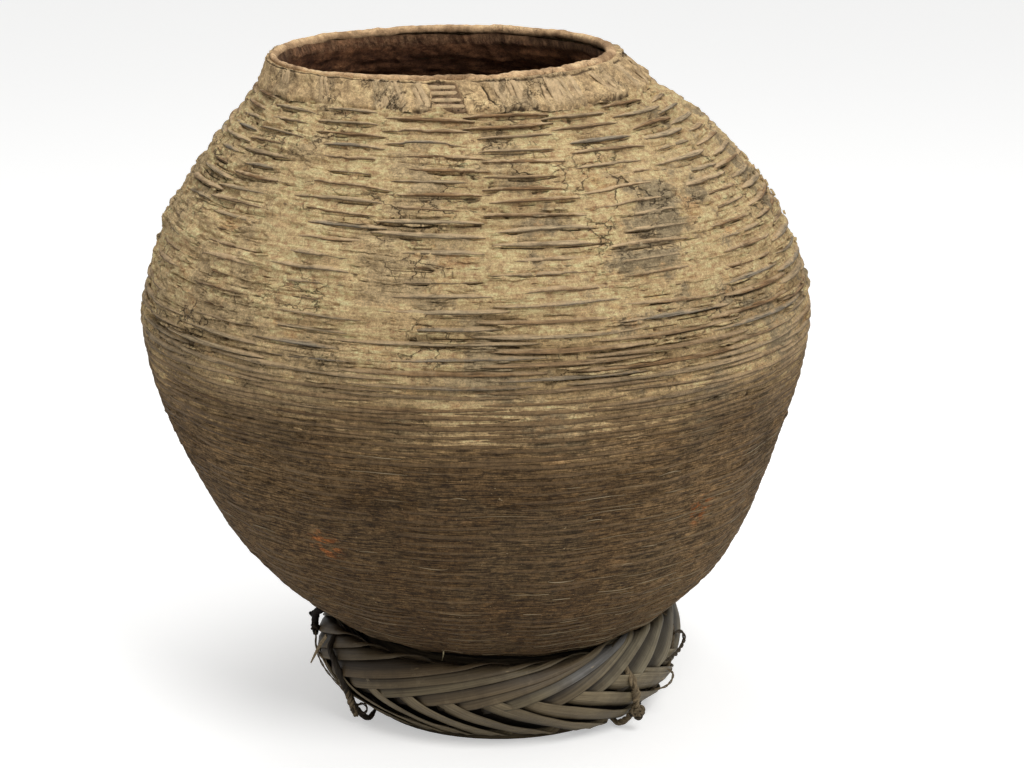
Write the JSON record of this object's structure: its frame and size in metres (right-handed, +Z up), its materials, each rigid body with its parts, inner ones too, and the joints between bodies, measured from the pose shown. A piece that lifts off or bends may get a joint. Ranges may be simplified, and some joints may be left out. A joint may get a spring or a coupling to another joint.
{
  "type": "storage basket",
  "caption": "Round woven bamboo storage basket daubed with clay inside and out, with a lashed narrow mouth, tied to a plaited ring foot.",
  "frame": {"origin": "on the floor under the middle of the basket's box, which is also the axis of its widest circle", "axes": "+Z up along the basket's height, -Y to the pictured front, +X to the right as seen from the front"},
  "size_m": [0.4857, 0.4856, 0.4904],
  "materials": {
    "clay": "dry daubed clay, matt, ochre above and dark brown below",
    "dark_clay": "rough dark clay lining, matt",
    "weave": "split bamboo wefts, worn, matt",
    "stave": "split bamboo, satin",
    "hoop_strip": "bent bamboo strip, satin",
    "lashing_strip": "flat bamboo strip, dusty with clay",
    "splint": "aged dark bamboo splint, satin, grey where worn",
    "cord": "twisted bark fibre, matt"
  },
  "bodies": {
    "root": {"base_mat": "stave", "clay_coat": "clay", "clay_lining": "dark_clay", "foot_filler_hoop_1": "splint", "foot_filler_hoop_2": "splint", "foot_filler_hoop_3": "splint", "foot_inner_hoop": "splint", "foot_plait": "splint", "foot_tie_back": "cord", "foot_tie_front_right": "cord", "foot_tie_left": "cord", "foot_tie_right": "cord", "rib_01": "stave", "rib_02": "stave", "rib_03": "stave", "rib_04": "stave", "rib_05": "stave", "rib_06": "stave", "rib_07": "stave", "rib_08": "stave", "rib_09": "stave", "rib_10": "stave", "rib_11": "stave", "rib_12": "stave", "rib_13": "stave", "rib_14": "stave", "rib_15": "stave", "rib_16": "stave", "rib_17": "stave", "rim_inner_hoop": "hoop_strip", "rim_lashing": "lashing_strip", "rim_lip": "clay", "rim_outer_hoop": "hoop_strip", "weft_wall": "weave"}
  },
  "joints": []
}
